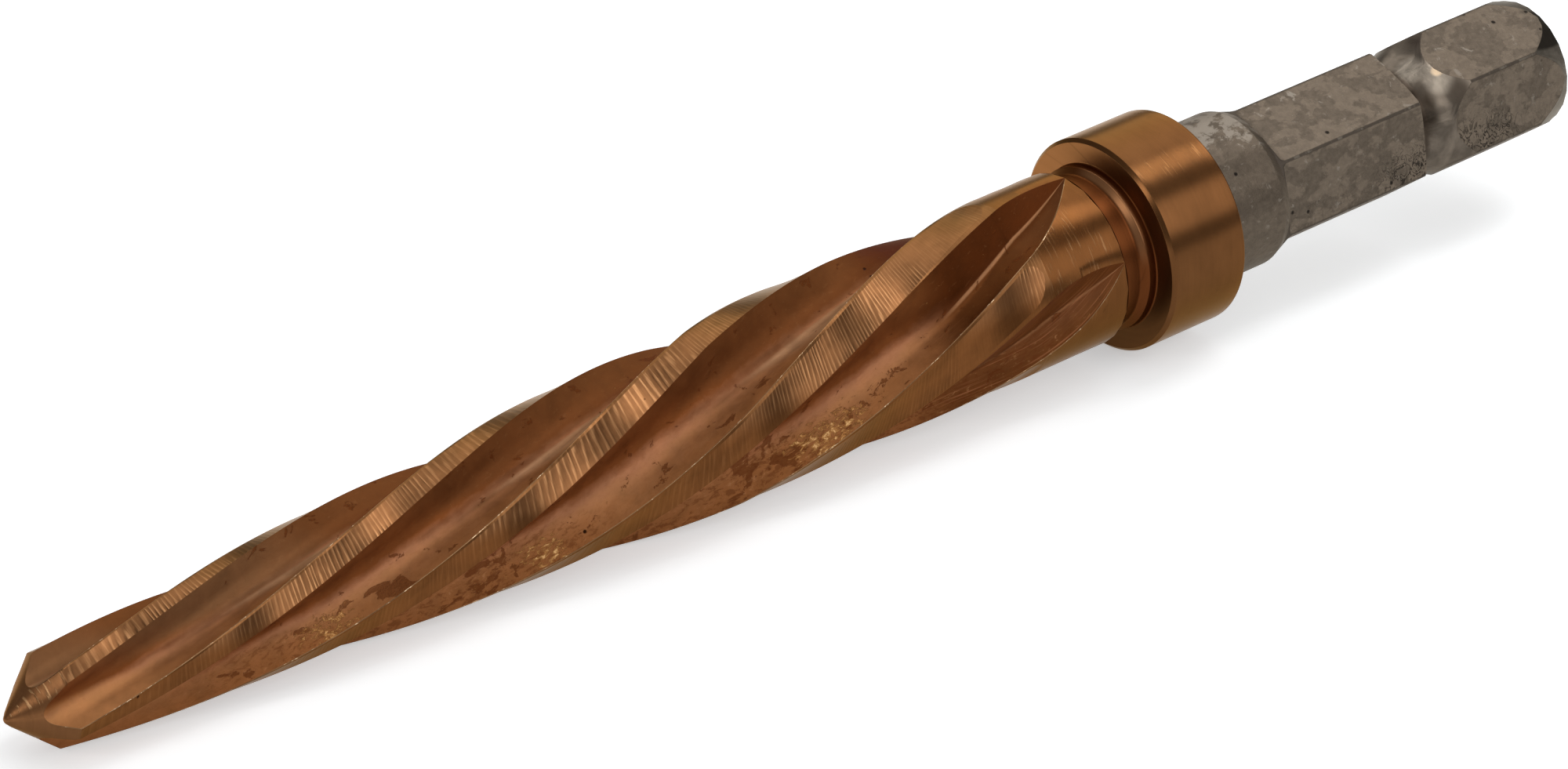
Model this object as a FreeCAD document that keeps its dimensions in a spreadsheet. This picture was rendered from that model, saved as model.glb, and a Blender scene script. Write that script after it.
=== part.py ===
import FreeCAD, Part
import math
import os
import sys

import Sketcher
from FreeCAD import Placement, Rotation, Vector

# An impact reamer: one solid of steel that rams misaligned bolt holes true.
# Along its axis, from the tip: a plain cone, a long tapered part and a parallel part with five
# left-hand flutes, a neck, a stop collar, a round shank, and a hexagon with a groove that a
# chuck's ball drops into. X runs along the axis from the tip, and the blank is turned about it.
# At rest the tool lies on the front rim of its collar and on one of its cutting edges.

# Sizes in millimetres and degrees, each written once.
SIZES = [
    ("point_angle", 84.0, "full angle of the cone at the tip"),
    ("nose_dia", 0.5, "small blunt flat on the very tip"),
    ("tip_dia", 7.74, "diameter over the cutting edges where the cone ends"),
    ("taper_end", 63.3, "tip to the end of the taper"),
    ("body_dia", 14.57, "diameter over the cutting edges of the parallel part"),
    ("parallel_length", 37.8, "length of the parallel part of the fluted body"),
    ("neck_dia", 12.9, "waist behind the fluted body"),
    ("neck_length", 2.05, "length of the waist"),
    ("hub_dia", 13.9, "raised ring in front of the collar"),
    ("hub_length", 1.25, "length of that ring"),
    ("hub_bevel", 0.45, "length of the slope from the waist up to the ring"),
    ("collar_dia", 18.06, "diameter of the collar"),
    ("collar_width", 7.6, "length of the collar"),
    ("collar_chamfer", 0.3, "bevel on the front rim of the collar"),
    ("shank_dia", 13.3, "round shank behind the collar"),
    ("shank_length", 7.4, "length of the round shank"),
    ("shoulder_length", 0.75, "bevel from the round shank down to the hexagon"),
    ("hex_length", 32.6, "length of the hexagon"),
    ("hex_across_flats", 11.11, "hexagon, 7/16 inch across the flats"),
    ("hex_blunting", 0.054, "metal turned off each corner of the hexagon"),
    ("hex_roll", 22.2, "direction of a corner of the hexagon"),
    ("end_bevel", 3.4, "length of the long bevel at the end"),
    ("end_taper", 15.0, "slope of that bevel"),
    ("groove_back", 16.8, "end of the hexagon to the steep side of the ball groove"),
    ("groove_depth", 1.71, "depth of the groove below the hexagon's corners"),
    ("groove_draft", 12.0, "slope of the groove's steep side from square"),
    ("groove_hollow", 0.55, "bevel between the steep side and the floor"),
    ("groove_floor", 0.45, "length of the groove's floor"),
    ("groove_ramp", 21.0, "slope of the groove's long side"),
    ("flute_count", 5, "number of flutes, and of lands between them"),
    ("flute_lead", 118.0, "advance of a flute in one full turn, left-hand"),
    ("flute_roll", -15.0, "direction of a cutting edge in the plane of the tip"),
    ("flute_tip_share", 0.79, "share of the round that the flutes take at the tip"),
    ("flute_share", 0.70, "the same at the taper's end"),
    ("flute_exit_share", 0.564, "the same where the run-out begins"),
    ("flute_wall", 20.0, "slope of both walls of a flute from the radius"),
    ("flute_opening", 16.0, "how much further the walls lean out where the run-out begins"),
    ("flute_fill", 0.79, "radius of the flute's hollow floor per half of its width"),
    ("run_out", 8.4, "length over which the flutes close in a point"),
    ("margin_angle", 2.4, "width of the round strip behind each cutting edge"),
    ("relief_angle", 12.3, "slope of the flat ground behind that strip"),
    ("relief_back", 9.5, "end of the fluted body to the end of the ground flats"),
    ("relief_exit", 1.7, "length over which the flats rise back to the round"),
]

doc = FreeCAD.newDocument("ImpactReamer")
sheet = doc.addObject("Spreadsheet::Sheet", "Sizes")
for row, (name, value, note) in enumerate(SIZES, start=1):
    sheet.set("A%d" % row, note)
    sheet.set("B%d" % row, str(value))
    sheet.setAlias("B%d" % row, name)
doc.recompute()

body = doc.addObject("PartDesign::Body", "Reamer")
body.Label = "impact_reamer"


def size(name):
    """The value of one cell of the sheet."""
    return float(sheet.get(name))


def cell(text):
    """An expression in which every word that starts with @ is a cell of the sheet."""
    return text.replace("@", "Sizes.")


def origin_feature(role):
    """One of the body's own origin planes or axes."""
    return [f for f in body.Origin.OriginFeatures if f.Role == role][0]


def new_sketch(name, role):
    sketch = body.newObject("Sketcher::SketchObject", name)
    sketch.AttachmentSupport = [(origin_feature(role), "")]
    sketch.MapMode = "FlatFace"
    return sketch


def bind(sketch, constraint, text):
    """Adds a dimension to a sketch and ties it to the sheet."""
    index = sketch.addConstraint(constraint)
    sketch.setExpression("Constraints[%d]" % index, cell(text))


# The turned blank
# Corners of its half section, as distance along the axis and radius, in order from the tip.
POINT_END = "(@tip_dia - @nose_dia) / 2 / tan(@point_angle * 1deg / 2)"
BODY_END = "(@taper_end + @parallel_length)"
HUB_START = "(@taper_end + @parallel_length + @neck_length)"
COLLAR_FRONT = "(@taper_end + @parallel_length + @neck_length + @hub_length)"
COLLAR_BACK = "(%s + @collar_width)" % COLLAR_FRONT
SHANK_END = "(%s + @shank_length)" % COLLAR_BACK
OVERALL = "(%s + @hex_length)" % SHANK_END
CORNER = "(@hex_across_flats / sqrt(3) - @hex_blunting)"
BLANK = [
    ("0", "@nose_dia / 2"),
    (POINT_END, "@tip_dia / 2"),
    ("@taper_end", "@body_dia / 2"),
    (BODY_END, "@body_dia / 2"),
    (BODY_END, "@neck_dia / 2"),
    (HUB_START, "@neck_dia / 2"),
    (HUB_START + " + @hub_bevel", "@hub_dia / 2"),
    (COLLAR_FRONT, "@hub_dia / 2"),
    (COLLAR_FRONT, "@collar_dia / 2 - @collar_chamfer"),
    (COLLAR_FRONT + " + @collar_chamfer", "@collar_dia / 2"),
    (COLLAR_BACK, "@collar_dia / 2"),
    (COLLAR_BACK, "@shank_dia / 2"),
    (SHANK_END + " - @shoulder_length", "@shank_dia / 2"),
    (SHANK_END, CORNER),
    (OVERALL + " - @end_bevel", CORNER),
    (OVERALL, CORNER + " - @end_bevel * tan(@end_taper * 1deg)"),
]


def half_section(sketch, corners):
    """A closed half section that starts and ends on the axis, with every corner placed."""
    count = len(corners) + 2
    rough = [Vector(0, 0, 0)] + [Vector(i * 10.0, 10.0 + i % 2, 0) for i in range(1, count - 1)]
    rough.append(Vector(count * 10.0, 0, 0))
    for i in range(count):
        sketch.addGeometry(Part.LineSegment(rough[i], rough[(i + 1) % count]), False)
    for i in range(count):
        sketch.addConstraint(Sketcher.Constraint("Coincident", i, 2, (i + 1) % count, 1))
    sketch.addConstraint(Sketcher.Constraint("Coincident", 0, 1, -1, 1))
    sketch.addConstraint(Sketcher.Constraint("PointOnObject", count - 1, 1, -1))
    sketch.addConstraint(Sketcher.Constraint("Vertical", 0))
    bind(sketch, Sketcher.Constraint("DistanceY", -1, 1, 1, 1, 1.0), corners[0][1])
    for i, (along, radius) in enumerate(corners[1:], start=2):
        bind(sketch, Sketcher.Constraint("DistanceX", -1, 1, i, 1, 10.0), along)
        bind(sketch, Sketcher.Constraint("DistanceY", -1, 1, i, 1, 10.0), radius)
    bind(sketch, Sketcher.Constraint("DistanceX", -1, 1, count - 1, 1, 10.0), corners[-1][0])


def turn(kind, name, sketch):
    """A full turn of a sketch about the tool's axis."""
    feature = body.newObject("PartDesign::" + kind, name)
    feature.Profile = sketch
    feature.ReferenceAxis = (origin_feature("X_Axis"), [""])
    feature.Angle = 360
    sketch.Visibility = False
    return feature


blank_section = new_sketch("BlankSection", "XZ_Plane")
half_section(blank_section, BLANK)
blank = turn("Revolution", "Blank", blank_section)
doc.recompute()


# The ball groove
# Its section is a hook: a steep side towards the collar, a hollow, a short floor and a long ramp.
# It is drawn up to a radius outside everything there.
GROOVE_TOP = "@collar_dia"
GROOVE_ROOT = "(%s - @groove_depth)" % CORNER
GROOVE_START = "(%s - @groove_back)" % OVERALL
GROOVE_FOOT = "(%s + @groove_depth * tan(@groove_draft * 1deg))" % GROOVE_START
GROOVE_RAMP = "(%s + @groove_hollow + @groove_floor)" % GROOVE_FOOT
GROOVE = [
    ("%s - (%s - %s) * tan(@groove_draft * 1deg)" % (GROOVE_START, GROOVE_TOP, CORNER), GROOVE_TOP),
    ("%s - @groove_hollow * tan(@groove_draft * 1deg)" % GROOVE_FOOT,
     "%s + @groove_hollow" % GROOVE_ROOT),
    ("%s + @groove_hollow" % GROOVE_FOOT, GROOVE_ROOT),
    (GROOVE_RAMP, GROOVE_ROOT),
    ("%s + (%s - %s) / tan(@groove_ramp * 1deg)" % (GROOVE_RAMP, GROOVE_TOP, GROOVE_ROOT), GROOVE_TOP),
]
groove_section = new_sketch("GrooveSection", "XZ_Plane")
rough = [Vector(0, 9, 0), Vector(1, 6, 0), Vector(2, 5, 0), Vector(3, 5, 0), Vector(9, 9, 0)]
for i in range(len(GROOVE)):
    groove_section.addGeometry(Part.LineSegment(rough[i], rough[(i + 1) % len(GROOVE)]), False)
for i in range(len(GROOVE)):
    groove_section.addConstraint(Sketcher.Constraint("Coincident", i, 2, (i + 1) % len(GROOVE), 1))
for i, (along, radius) in enumerate(GROOVE):
    bind(groove_section, Sketcher.Constraint("DistanceX", -1, 1, i, 1, 5.0), along)
    bind(groove_section, Sketcher.Constraint("DistanceY", -1, 1, i, 1, 5.0), radius)
groove = turn("Groove", "BallGroove", groove_section)
doc.recompute()

# The hexagon
# Everything outside six flats is milled away from the end up to the round shank.
hex_section = new_sketch("HexSection", "YZ_Plane")
hex_section.setExpression("AttachmentOffset.Base.z", cell(OVERALL))
hex_section.setExpression("AttachmentOffset.Rotation.Angle", cell("@hex_roll"))
corner = [Vector(7 * math.cos(math.radians(60 * k)), 7 * math.sin(math.radians(60 * k)), 0)
          for k in range(6)]
for k in range(6):
    hex_section.addGeometry(Part.LineSegment(corner[k], corner[(k + 1) % 6]), False)
hex_section.addGeometry(Part.Circle(Vector(0, 0, 0), Vector(0, 0, 1), 7), True)
hex_section.addGeometry(Part.Circle(Vector(0, 0, 0), Vector(0, 0, 1), 12), False)
for k in range(6):
    hex_section.addConstraint(Sketcher.Constraint("Coincident", k, 2, (k + 1) % 6, 1))
    hex_section.addConstraint(Sketcher.Constraint("PointOnObject", k, 1, 6))
for k in range(5):
    hex_section.addConstraint(Sketcher.Constraint("Equal", k, k + 1))
hex_section.addConstraint(Sketcher.Constraint("PointOnObject", 0, 1, -1))
for circle, radius in ((6, "@hex_across_flats / sqrt(3)"), (7, "@collar_dia")):
    hex_section.addConstraint(Sketcher.Constraint("Coincident", circle, 3, -1, 1))
    bind(hex_section, Sketcher.Constraint("Radius", circle, 7.0), radius)
hexagon = body.newObject("PartDesign::Pocket", "Hexagon")
hexagon.Profile = hex_section
hexagon.Type = 0
hexagon.setExpression("Length", cell("@hex_length"))
hex_section.Visibility = False
doc.recompute()

# Stations along the fluted body
# Each flute and each ground flat is a loft through sections that turn with the lead.
LEAD_IN = 2.0
TAPER_RISE = "(@body_dia - @tip_dia) / 2 / (@taper_end - %s)" % POINT_END
TURN = "360 / @flute_lead"


def taper_stations(count):
    """Places from just before the tip to the end of the taper, with the radius of the edges."""
    for i in range(count + 1):
        along = "(-%g + (@taper_end + %g) * %g)" % (LEAD_IN, LEAD_IN, i / count)
        yield along, "(@body_dia / 2 - %s * (@taper_end - %s))" % (TAPER_RISE, along), i / count


def body_stations(end, count):
    """Places on the parallel part from after the taper's end to the given end."""
    for i in range(1, count + 1):
        yield "(@taper_end + (%s - @taper_end) * %g)" % (end, i / count), "@body_dia / 2", i / count


def station_sketch(name, along, roll):
    """A sketch square to the axis at a station, with its X axis at that roll."""
    sketch = new_sketch(name, "YZ_Plane")
    sketch.setExpression("AttachmentOffset.Base.z", cell(along))
    sketch.setExpression("AttachmentOffset.Rotation.Angle",
                         cell("%s - %s * %s" % (roll, TURN, along)))
    sketch.Visibility = False
    return sketch


def loft(name, sketches):
    feature = body.newObject("PartDesign::SubtractiveLoft", name)
    feature.Profile = sketches[0]
    feature.Sections = sketches[1:]
    feature.Ruled = False
    return feature


# The flutes
# A flute's section has two straight walls and a hollow floor, alike about the flute's middle.
# The floor is round, drawn as chords. The section grows with the taper, then narrows and closes
# in a point.
PITCH = "(360 / @flute_count)"
WEDGE = "@flute_share * %s / 2 + @flute_wall" % PITCH
CLEAR = 1.35
CHORDS = 7


def flute_section(name, along, radius, share, opened=0.0, middle_share=None, lift="0"):
    """One section: a wall, the chords of the floor, a wall, and a line outside the tool.

    share is the flute's share of the round, and its middle lies half of middle_share from the
    cutting edge's helix. opened is how far the walls have leant out, from 0 to 1.
    """
    half_angle = "(%s * %s / 2)" % (share, PITCH)
    sketch = station_sketch(name, along, "@flute_roll - %s * %s / 2" % (middle_share or share, PITCH))
    wedge = "((%s + @flute_opening * %g) * 1deg)" % (WEDGE, opened)
    spread = [1 - 2 * i / CHORDS for i in range(CHORDS + 1)]
    rough = [Vector(6 - 1.4 * math.cos(0.8 * t), 1.4 * math.sin(0.8 * t), 0) for t in spread]
    rough = [Vector(9, 5, 0)] + rough + [Vector(9, -5, 0)]
    count = len(rough)
    for i in range(count):
        sketch.addGeometry(Part.LineSegment(rough[i], rough[(i + 1) % count]), False)
    for i in range(count):
        sketch.addConstraint(Sketcher.Constraint("Coincident", i, 2, (i + 1) % count, 1))
    for i in range(count // 2):
        sketch.addConstraint(Sketcher.Constraint("Symmetric", i, 1, count - 1 - i, 1, -1))
    half_width = "%s * sin(%s * 1deg)" % (radius, half_angle)
    root = "(%s * cos(%s * 1deg) - %s / tan(%s) + %s)" % (radius, half_angle, half_width,
                                                          wedge, lift)
    floor_radius = "@flute_fill * %s" % half_width
    middle = "(%s + %s / sin(%s))" % (root, floor_radius, wedge)
    for vertex, t in enumerate(spread[:count // 2 - 1], start=1):
        turned = "(90deg - %s) * %.6g" % (wedge, t)
        bind(sketch, Sketcher.Constraint("DistanceX", -1, 1, vertex, 1, 5.0),
             "%s - %s * cos(%s)" % (middle, floor_radius, turned))
        bind(sketch, Sketcher.Constraint("DistanceY", -1, 1, vertex, 1, 1.0),
             "%s * sin(%s)" % (floor_radius, turned))
    bind(sketch, Sketcher.Constraint("DistanceX", -1, 1, 0, 1, 9.0), "%g * %s" % (CLEAR, radius))
    bind(sketch, Sketcher.Constraint("DistanceY", -1, 1, 0, 1, 5.0),
         "(%g * %s - %s) * tan(%s)" % (CLEAR, radius, root, wedge))
    return sketch


EXIT = "(%s - @run_out)" % BODY_END
flute_sketches = []
for along, radius, part in taper_stations(8):
    share = "(@flute_share + (@flute_tip_share - @flute_share) * %g)" % ((1 - part) ** 3)
    flute_sketches.append(flute_section("Flute%02d" % len(flute_sketches), along, radius, share))
for along, radius, part in body_stations(EXIT, 4):
    share = "(@flute_share + (@flute_exit_share - @flute_share) * %g)" % part
    flute_sketches.append(flute_section("Flute%02d" % len(flute_sketches), along, radius, share,
                                        max(0.0, 2 * part - 1)))
for part in (0.3, 0.55, 0.75, 0.9):
    flute_sketches.append(flute_section("Flute%02d" % len(flute_sketches),
                                        "(%s + @run_out * %g)" % (EXIT, part), "@body_dia / 2",
                                        "(@flute_exit_share * %g)" % (1 - part ** 2), 1.0,
                                        "@flute_exit_share"))
flute_sketches.append(flute_section("Flute%02d" % len(flute_sketches), BODY_END, "@body_dia / 2",
                                    "(@flute_exit_share * 0.03)", 1.0, "@flute_exit_share", "0.06"))
flute = loft("Flute", flute_sketches)
doc.recompute()

# The ground flats
# Behind the round strip at each cutting edge the land is ground flat across, all along the
# flutes, and the wheel leaves the work over a short rise.
FLAT_ROLL = "@flute_roll + @margin_angle + @relief_angle"


def flat_section(name, along, radius, rise=0.0):
    """A box across the land: its inner side is the flat, and rise lifts that to the round."""
    sketch = station_sketch(name, along, FLAT_ROLL)
    corners = ((6, 3), (6, -3), (9, -3), (9, 3))
    for i in range(4):
        sketch.addGeometry(Part.LineSegment(Vector(*corners[i], 0),
                                            Vector(*corners[(i + 1) % 4], 0)), False)
    for i in range(4):
        sketch.addConstraint(Sketcher.Constraint("Coincident", i, 2, (i + 1) % 4, 1))
    sketch.addConstraint(Sketcher.Constraint("Symmetric", 0, 1, 1, 1, -1))
    sketch.addConstraint(Sketcher.Constraint("Symmetric", 3, 1, 2, 1, -1))
    sketch.addConstraint(Sketcher.Constraint("Horizontal", 3))
    bind(sketch, Sketcher.Constraint("DistanceX", -1, 1, 0, 1, 6.0),
         "%s * (cos(@relief_angle * 1deg) + %g * (1.003 - cos(@relief_angle * 1deg)))"
         % (radius, rise))
    bind(sketch, Sketcher.Constraint("DistanceY", -1, 1, 0, 1, 3.0),
         "%s * tan(@relief_angle * 1.6deg)" % radius)
    bind(sketch, Sketcher.Constraint("DistanceX", -1, 1, 3, 1, 9.0), "%g * %s" % (CLEAR, radius))
    return sketch


RELIEF_END = "(%s - @relief_back)" % BODY_END
flat_sketches = []
for along, radius, part in taper_stations(8):
    flat_sketches.append(flat_section("Flat%02d" % len(flat_sketches), along, radius))
for along, radius, part in body_stations(RELIEF_END, 4):
    flat_sketches.append(flat_section("Flat%02d" % len(flat_sketches), along, radius))
for part in (0.5, 1.0):
    flat_sketches.append(flat_section("Flat%02d" % len(flat_sketches),
                                      "(%s + @relief_exit * %g)" % (RELIEF_END, part),
                                      "@body_dia / 2", part ** 2))
doc.recompute()
flat = loft("Flat", flat_sketches)
doc.recompute()

pattern = body.newObject("PartDesign::PolarPattern", "FlutesAndFlats")
pattern.Originals = [flute, flat]
pattern.Axis = (origin_feature("X_Axis"), [""])
pattern.Angle = 360
pattern.setExpression("Occurrences", cell("@flute_count"))
body.Tip = pattern
doc.recompute()

# How the tool lies
# It touches the ground with the front rim of the collar and with one cutting edge, where that
# edge points straight down. The tilt is the steepest that no such edge stands in the way of.


def edge_radius(along):
    """Radius of the cutting edges at a place on the axis."""
    point_end = ((size("tip_dia") - size("nose_dia")) / 2
                 / math.tan(math.radians(size("point_angle") / 2)))
    rise = (size("body_dia") - size("tip_dia")) / 2 / (size("taper_end") - point_end)
    return size("body_dia") / 2 - rise * max(size("taper_end") - along, 0)


body_end = size("taper_end") + size("parallel_length")
rim = body_end + size("neck_length") + size("hub_length") + size("collar_chamfer")
rim_radius = size("collar_dia") / 2
pitch = size("flute_lead") / size("flute_count")
first = (size("flute_roll") + 90) % (360 / size("flute_count")) / 360 * size("flute_lead")
down_places = [first + pitch * i for i in range(int((body_end - first) / pitch) + 1)]
tilt = min(math.atan2(rim_radius - edge_radius(x), rim - x) for x in down_places)
lie = Rotation(Vector(0, 1, 0), -math.degrees(tilt))
body.Placement = Placement(Vector(0, 0, 0), lie)
box = body.Shape.optimalBoundingBox(True, False)
ground = rim * math.sin(tilt) - rim_radius * math.cos(tilt)
body.Placement = Placement(Vector(-(box.XMin + box.XMax) / 2, -(box.YMin + box.YMax) / 2, -ground),
                           lie)
doc.recompute()

# Check and write
for item in doc.Objects:
    if "Invalid" in item.State or "Error" in item.State:
        sys.exit("%s failed: %s" % (item.Name, item.getStatusString()))
for part in (body,):
    shape = part.Shape
    if shape.isNull() or not shape.isValid() or len(shape.Solids) != 1:
        sys.exit("%s is not one sound solid" % part.Label)
    os.makedirs("parts", exist_ok=True)
    shape.exportStep("parts/%s.step" % part.Label)
    box = shape.optimalBoundingBox(True, False)
    print("%s: %.1f x %.1f x %.1f mm, volume %.0f mm3, tilt %.2f deg, lowest %.3f"
          % (part.Label, box.XLength, box.YLength, box.ZLength, shape.Volume,
             math.degrees(tilt), box.ZMin))
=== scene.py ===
import math
from collections import namedtuple

import bmesh
import bpy
import numpy as np
from mathutils import Matrix, Vector


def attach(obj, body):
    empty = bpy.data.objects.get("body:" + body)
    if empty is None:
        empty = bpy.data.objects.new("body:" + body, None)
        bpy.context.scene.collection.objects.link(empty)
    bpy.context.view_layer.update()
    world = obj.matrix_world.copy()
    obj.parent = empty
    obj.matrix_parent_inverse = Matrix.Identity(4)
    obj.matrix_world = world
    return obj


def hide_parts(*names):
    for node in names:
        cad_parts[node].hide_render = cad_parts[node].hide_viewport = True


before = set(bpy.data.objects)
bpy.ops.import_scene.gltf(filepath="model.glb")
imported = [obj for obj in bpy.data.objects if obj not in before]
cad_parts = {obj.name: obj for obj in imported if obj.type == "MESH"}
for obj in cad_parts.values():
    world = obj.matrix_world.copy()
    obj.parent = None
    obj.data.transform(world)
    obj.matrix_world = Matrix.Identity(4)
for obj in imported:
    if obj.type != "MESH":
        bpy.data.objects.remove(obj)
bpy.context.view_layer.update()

# The tool's own frame: s runs along its axis from the tip, and angles turn from +Y towards +Z.
# Lengths are millimetres and angles are degrees, unless a line says otherwise.
MM = 0.001
TILT = math.radians(2.650017)
TIP = np.array([-76.03892, 0.0, 4.179537])
ALONG = np.array([math.cos(TILT), 0.0, math.sin(TILT)])
ACROSS = np.array([0.0, 1.0, 0.0])
UPWARD = np.array([-math.sin(TILT), 0.0, math.cos(TILT)])
# An angle about the axis and the same place's angle in the photo have this sum. In the photo 0 is
# the lower outline, 90 faces the camera and 180 is the upper outline.
PHOTO_TURN = -125.9

# TIP_R, BODY_R and COLLAR_R are 0.008 to 0.018 under the solid's radii, which keeps the piece
# inside the solid's box.
POINT_SLOPE = math.tan(math.radians(84.0 / 2))
NOSE_R = 0.25
TIP_R = 3.862
BODY_R = 7.275
POINT_END = (TIP_R - NOSE_R) / POINT_SLOPE
TAPER_END = 63.3
BODY_END = 101.1
TAPER_RISE = (BODY_R - TIP_R) / (TAPER_END - POINT_END)
# The rounded nose, and the rounded rim at the end of the fluted body.
NOSE_S = [0.0, 0.01, 0.05, 0.12, 0.25, 0.4]
NOSE_RADII = [0.0, 0.10, 0.20, 0.30, 0.43, NOSE_R + NOSE_S[-1] * POINT_SLOPE - 0.01]
RIM, RIM_DROP = 0.08, 0.04

# The flutes. A share is the part of the pitch that a flute takes at the tip, from the taper's end
# and where the run-out starts, and a fill is the floor's radius over half of the flute's width.
# The walls lean out by up to OPENING between OPENING_START and the run-out.
LEAD = 118.0
COUNT = 5
PITCH = 360.0 / COUNT
EDGE_ROLL = -15.0
LEAD_IN = 2.0
TIP_SHARE, TAPER_SHARE, EXIT_SHARE, CLOSED_SHARE = 0.79, 0.70, 0.564, 1e-4
WEDGE = math.radians(TAPER_SHARE * PITCH / 2 + 20.0)
FILL, EXIT_FILL = 0.79, 0.14
OPENING = 24.0
OPENING_START = 78.0
RUN_OUT = 8.4
EXIT_START = BODY_END - RUN_OUT
# How far a flute's bottom leans towards the cutting edge, at places near the flute's end.
LEAN_S, LEAN = [OPENING_START, 85.0, 88.5, 93.0], [0.0, 9.0, 7.0, 0.0]
# The land: the margin's angle, half of the flat's angle, and where the flats end.
MARGIN = 2.4
RELIEF = 12.3
RELIEF_END = BODY_END - 9.5
RELIEF_EXIT = 1.7
RELIEF_CLEAR = 1.003
EDGE_WEAR = 0.045

# How finely one pitch is divided: parts of the way down the heel wall and up the wall that cuts,
# and steps on the margin, the flat, the land behind it and the floor.
HEEL_WALL = (0.06, 0.2, 0.35, 0.5, 0.65, 0.82, 1.0)
CUT_WALL = (0.18, 0.35, 0.5, 0.65, 0.8, 0.94)
MARGIN_STEPS, FLAT_STEPS, BACK_STEPS, FLOOR_STEPS = 2, 8, 3, 16

NECK_R = 6.45
HUB_R = 6.95
HUB_START = BODY_END + 2.05
HUB_BEVEL = 0.45
COLLAR_START = HUB_START + 1.25
COLLAR_END = COLLAR_START + 7.6
COLLAR_R = 9.012
COLLAR_CHAMFER = 0.3
SHANK_R = 6.65
SHOULDER = 0.75
HEX_START = 119.4
HEX_RISE = 0.55
OVERALL = 152.0
HEX_APOTHEM = 5.555
HEX_CORNER_R = 11.11 / math.sqrt(3) - 0.054
HEX_ROLL = 22.2
HEX_SIDE = 6.4
GROOVE_START = 135.2
GROOVE_DEPTH = 1.71
GROOVE_HOLLOW = 0.5
GROOVE_FOOT = GROOVE_START + GROOVE_DEPTH * math.tan(math.radians(12))
GROOVE_RAMP = GROOVE_FOOT + 1.0
GROOVE_END = GROOVE_RAMP + GROOVE_DEPTH / math.tan(math.radians(21))
END_BEVEL = 3.4
END_DROP = END_BEVEL * math.tan(math.radians(15))
ROUND_COLUMNS = 240
HEX_COLUMNS = 11

# Zones, each with its own material. MARGIN_MAT is the round part of the land.
(CONE, LAND, MARGIN_MAT, FLUTE, EDGE, TURNED, NECK, COLLAR, FACE, SHANK, HEXFLAT, CORNER, GROOVE,
 BEVEL) = range(14)
# Zones that meet in a crisp line, however flat the angle between them is.
CRISP = ({LAND, MARGIN_MAT}, {LAND, FLUTE}, {MARGIN_MAT, FLUTE}, {LAND, TURNED}, {HEXFLAT, BEVEL},
         {HEXFLAT, GROOVE})
CRISP_ANGLE = math.radians(40)


def place(s, z):
    """World metres of section points z (complex, local Y + i local Z) at s on the axis."""
    s = np.broadcast_to(s, z.shape)
    point = (TIP + s[..., None] * ALONG + z.real[..., None] * ACROSS + z.imag[..., None] * UPWARD)
    return point * MM


def polar(r, degrees):
    return r * np.exp(1j * np.radians(degrees))


def spread(a, b, n):
    """n even values after a, up to and with b."""
    return [a + (b - a) * k / n for k in range(1, n + 1)]


# The fluted body


def edge_radius(s):
    return BODY_R - TAPER_RISE * max(TAPER_END - s, 0.0)


def turned_radius(s):
    if s < NOSE_S[-1]:
        return np.interp(s, NOSE_S, NOSE_RADII)
    if s < POINT_END:
        return NOSE_R + s * POINT_SLOPE
    if s < BODY_END - RIM:
        return min(BODY_R, edge_radius(s))
    return BODY_R - RIM_DROP * ((s - BODY_END + RIM) / RIM) ** 2


def flute_half(s):
    """Half of the angle that a flute takes of the round."""
    if s < TAPER_END:
        part = (s + LEAD_IN) / (TAPER_END + LEAD_IN)
        share = TAPER_SHARE + (TIP_SHARE - TAPER_SHARE) * (1 - part) ** 3
    elif s < EXIT_START:
        share = (TAPER_SHARE
                 + (EXIT_SHARE - TAPER_SHARE) * (s - TAPER_END) / (EXIT_START - TAPER_END))
    else:
        share = EXIT_SHARE * max(1 - ((s - EXIT_START) / RUN_OUT) ** 2, CLOSED_SHARE)
    return share * PITCH / 2


def flute_middle(s):
    """Angle from a flute's middle to the helix of its cutting edge."""
    return flute_half(min(s, EXIT_START))


def opening(s):
    """How far the walls have leant out and the floor has narrowed, from 0 to 1."""
    return min(max((s - OPENING_START) / (EXIT_START - OPENING_START), 0.0), 1.0)


def flat_distance(s):
    """Distance from the axis to the ground flat, which rises clear of the round at its end."""
    low = math.cos(math.radians(RELIEF))
    rise = min(max((s - RELIEF_END) / RELIEF_EXIT, 0.0), 1.0) ** 2
    return edge_radius(s) * (low + rise * (RELIEF_CLEAR - low))


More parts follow.
